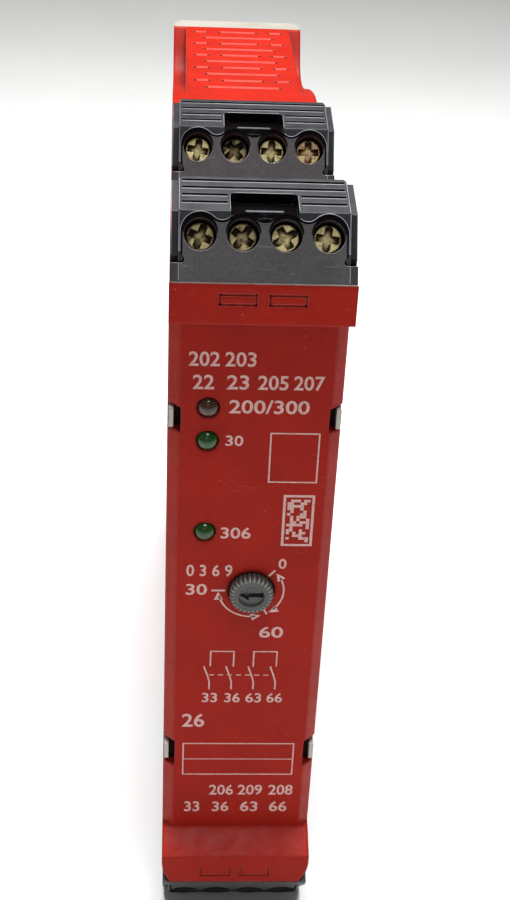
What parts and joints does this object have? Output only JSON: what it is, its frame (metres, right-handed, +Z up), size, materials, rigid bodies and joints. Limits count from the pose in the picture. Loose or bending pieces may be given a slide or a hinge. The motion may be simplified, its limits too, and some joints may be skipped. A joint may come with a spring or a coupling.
{
  "type": "safety relay",
  "caption": "Slim rail-mounted safety relay with stepped plug-in screw terminals above and below, three lamps and a reset selector on its narrow red face.",
  "frame": {"origin": "middle of the rail seat, on the plane that the rail's front touches", "axes": "+X across the narrow width, +Y into the depth towards the rail, +Z up as mounted"},
  "size_m": [0.0226, 0.1136, 0.1192],
  "materials": {
    "red_housing": "moulded, fine grain",
    "light_grey_plastic": "moulded, fine grain",
    "latch_plastic": "moulded, smooth",
    "spring_steel": "drawn wire",
    "circuit_board": "solder mask",
    "relay_case": "moulded, smooth",
    "ferrite": "sintered",
    "capacitor_sleeve": "shrink sleeve",
    "chip_black": "moulded epoxy",
    "connector_black": "moulded",
    "lamp_amber": "tinted clear resin",
    "lamp_green": "tinted clear resin",
    "knob_grey": "moulded",
    "switch_body": "moulded",
    "tinned_brass": "tinned",
    "header_black": "moulded",
    "cage_steel": "zinc plated",
    "screw_brass": "yellow passivated, used",
    "plug_cover_grey": "moulded, satin",
    "plug_black": "moulded, satin"
  },
  "bodies": {
    "housing": {"board_connector": "connector_black", "capacitors": "capacitor_sleeve", "controller_chips": "chip_black", "front_board": "circuit_board", "front_cover": "red_housing", "front_frame": "light_grey_plastic", "header_lower_front": "header_black", "header_lower_front_pins": "tinned_brass", "header_lower_rear": "header_black", "header_lower_rear_pins": "tinned_brass", "header_upper_front": "header_black", "header_upper_front_pins": "tinned_brass", "header_upper_rear": "header_black", "header_upper_rear_pins": "tinned_brass", "housing_shell": "red_housing", "lamp_input": "lamp_green", "lamp_output": "lamp_green", "lamp_power": "lamp_amber", "latch_spring": "spring_steel", "main_board": "circuit_board", "rear_base": "light_grey_plastic", "safety_relay_a": "relay_case", "safety_relay_b": "relay_case", "selector_switch": "switch_body", "transformer": "ferrite"},
    "selector": {"selector_knob": "knob_grey"},
    "latch": {"rail_latch": "latch_plastic"},
    "plug_upper_front": {"plug_upper_front_body": "plug_black", "plug_upper_front_cover": "plug_cover_grey", "plug_upper_front_cages": "cage_steel", "plug_upper_front_contacts": "tinned_brass"},
    "plug_upper_front_screw_1": {"plug_upper_front_screw_1": "screw_brass"},
    "plug_upper_front_screw_2": {"plug_upper_front_screw_2": "screw_brass"},
    "plug_upper_front_screw_3": {"plug_upper_front_screw_3": "screw_brass"},
    "plug_upper_front_screw_4": {"plug_upper_front_screw_4": "screw_brass"},
    "plug_upper_rear": {"plug_upper_rear_body": "plug_black", "plug_upper_rear_cover": "plug_cover_grey", "plug_upper_rear_cages": "cage_steel", "plug_upper_rear_contacts": "tinned_brass"},
    "plug_upper_rear_screw_1": {"plug_upper_rear_screw_1": "screw_brass"},
    "plug_upper_rear_screw_2": {"plug_upper_rear_screw_2": "screw_brass"},
    "plug_upper_rear_screw_3": {"plug_upper_rear_screw_3": "screw_brass"},
    "plug_upper_rear_screw_4": {"plug_upper_rear_screw_4": "screw_brass"},
    "plug_lower_front": {"plug_lower_front_body": "plug_black", "plug_lower_front_cover": "plug_cover_grey", "plug_lower_front_cages": "cage_steel", "plug_lower_front_contacts": "tinned_brass"},
    "plug_lower_front_screw_1": {"plug_lower_front_screw_1": "screw_brass"},
    "plug_lower_front_screw_2": {"plug_lower_front_screw_2": "screw_brass"},
    "plug_lower_front_screw_3": {"plug_lower_front_screw_3": "screw_brass"},
    "plug_lower_front_screw_4": {"plug_lower_front_screw_4": "screw_brass"},
    "plug_lower_rear": {"plug_lower_rear_body": "plug_black", "plug_lower_rear_cover": "plug_cover_grey", "plug_lower_rear_cages": "cage_steel", "plug_lower_rear_contacts": "tinned_brass"},
    "plug_lower_rear_screw_1": {"plug_lower_rear_screw_1": "screw_brass"},
    "plug_lower_rear_screw_2": {"plug_lower_rear_screw_2": "screw_brass"},
    "plug_lower_rear_screw_3": {"plug_lower_rear_screw_3": "screw_brass"},
    "plug_lower_rear_screw_4": {"plug_lower_rear_screw_4": "screw_brass"}
  },
  "joints": [
    {"name": "selector_turn", "type": "hinge", "parent": "housing", "child": "selector", "pos_m": [0.0006, -0.1028, 0.0023], "axis": [0, -1, 0], "range_deg": [0, 228]},
    {"name": "rail_latch_slide", "type": "slide", "parent": "housing", "child": "latch", "axis": [0, 0, -1], "range_m": [0, 0.0035], "stiffness_N_per_m": 1200, "springref_m": -0.0015, "deforming": ["latch_spring"]},
    {"name": "plug_upper_front_unplug", "type": "slide", "parent": "housing", "child": "plug_upper_front", "axis": [0, -0.8545, 0.5195], "range_m": [0, 0.014]},
    {"name": "plug_upper_front_screw_1_turn", "type": "hinge", "parent": "plug_upper_front", "child": "plug_upper_front_screw_1", "pos_m": [-0.00762, -0.10241, 0.05485], "axis": [0, 0.8545, -0.5195], "range_deg": [0, 2070]},
    {"name": "plug_upper_front_screw_2_turn", "type": "hinge", "parent": "plug_upper_front", "child": "plug_upper_front_screw_2", "pos_m": [-0.00254, -0.10241, 0.05485], "axis": [0, 0.8545, -0.5195], "range_deg": [0, 2070]},
    {"name": "plug_upper_front_screw_3_turn", "type": "hinge", "parent": "plug_upper_front", "child": "plug_upper_front_screw_3", "pos_m": [0.00254, -0.10241, 0.05485], "axis": [0, 0.8545, -0.5195], "range_deg": [0, 2070]},
    {"name": "plug_upper_front_screw_4_turn", "type": "hinge", "parent": "plug_upper_front", "child": "plug_upper_front_screw_4", "pos_m": [0.00762, -0.10241, 0.05485], "axis": [0, 0.8545, -0.5195], "range_deg": [0, 2070]},
    {"name": "plug_upper_rear_unplug", "type": "slide", "parent": "housing", "child": "plug_upper_rear", "axis": [0, -0.8545, 0.5195], "range_m": [0, 0.014]},
    {"name": "plug_upper_rear_screw_1_turn", "type": "hinge", "parent": "plug_upper_rear", "child": "plug_upper_rear_screw_1", "pos_m": [-0.00762, -0.07076, 0.0537], "axis": [0, 0.8545, -0.5195], "range_deg": [0, 2070]},
    {"name": "plug_upper_rear_screw_2_turn", "type": "hinge", "parent": "plug_upper_rear", "child": "plug_upper_rear_screw_2", "pos_m": [-0.00254, -0.07076, 0.0537], "axis": [0, 0.8545, -0.5195], "range_deg": [0, 2070]},
    {"name": "plug_upper_rear_screw_3_turn", "type": "hinge", "parent": "plug_upper_rear", "child": "plug_upper_rear_screw_3", "pos_m": [0.00254, -0.07076, 0.0537], "axis": [0, 0.8545, -0.5195], "range_deg": [0, 2070]},
    {"name": "plug_upper_rear_screw_4_turn", "type": "hinge", "parent": "plug_upper_rear", "child": "plug_upper_rear_screw_4", "pos_m": [0.00762, -0.07076, 0.0537], "axis": [0, 0.8545, -0.5195], "range_deg": [0, 2070]},
    {"name": "plug_lower_front_unplug", "type": "slide", "parent": "housing", "child": "plug_lower_front", "axis": [0, -0.8545, -0.5195], "range_m": [0, 0.014]},
    {"name": "plug_lower_front_screw_1_turn", "type": "hinge", "parent": "plug_lower_front", "child": "plug_lower_front_screw_1", "pos_m": [-0.00762, -0.10241, -0.05485], "axis": [0, 0.8545, 0.5195], "range_deg": [0, 2070]},
    {"name": "plug_lower_front_screw_2_turn", "type": "hinge", "parent": "plug_lower_front", "child": "plug_lower_front_screw_2", "pos_m": [-0.00254, -0.10241, -0.05485], "axis": [0, 0.8545, 0.5195], "range_deg": [0, 2070]},
    {"name": "plug_lower_front_screw_3_turn", "type": "hinge", "parent": "plug_lower_front", "child": "plug_lower_front_screw_3", "pos_m": [0.00254, -0.10241, -0.05485], "axis": [0, 0.8545, 0.5195], "range_deg": [0, 2070]},
    {"name": "plug_lower_front_screw_4_turn", "type": "hinge", "parent": "plug_lower_front", "child": "plug_lower_front_screw_4", "pos_m": [0.00762, -0.10241, -0.05485], "axis": [0, 0.8545, 0.5195], "range_deg": [0, 2070]},
    {"name": "plug_lower_rear_unplug", "type": "slide", "parent": "housing", "child": "plug_lower_rear", "axis": [0, -0.8545, -0.5195], "range_m": [0, 0.014]},
    {"name": "plug_lower_rear_screw_1_turn", "type": "hinge", "parent": "plug_lower_rear", "child": "plug_lower_rear_screw_1", "pos_m": [-0.00762, -0.07076, -0.0537], "axis": [0, 0.8545, 0.5195], "range_deg": [0, 2070]},
    {"name": "plug_lower_rear_screw_2_turn", "type": "hinge", "parent": "plug_lower_rear", "child": "plug_lower_rear_screw_2", "pos_m": [-0.00254, -0.07076, -0.0537], "axis": [0, 0.8545, 0.5195], "range_deg": [0, 2070]},
    {"name": "plug_lower_rear_screw_3_turn", "type": "hinge", "parent": "plug_lower_rear", "child": "plug_lower_rear_screw_3", "pos_m": [0.00254, -0.07076, -0.0537], "axis": [0, 0.8545, 0.5195], "range_deg": [0, 2070]},
    {"name": "plug_lower_rear_screw_4_turn", "type": "hinge", "parent": "plug_lower_rear", "child": "plug_lower_rear_screw_4", "pos_m": [0.00762, -0.07076, -0.0537], "axis": [0, 0.8545, 0.5195], "range_deg": [0, 2070]}
  ]
}
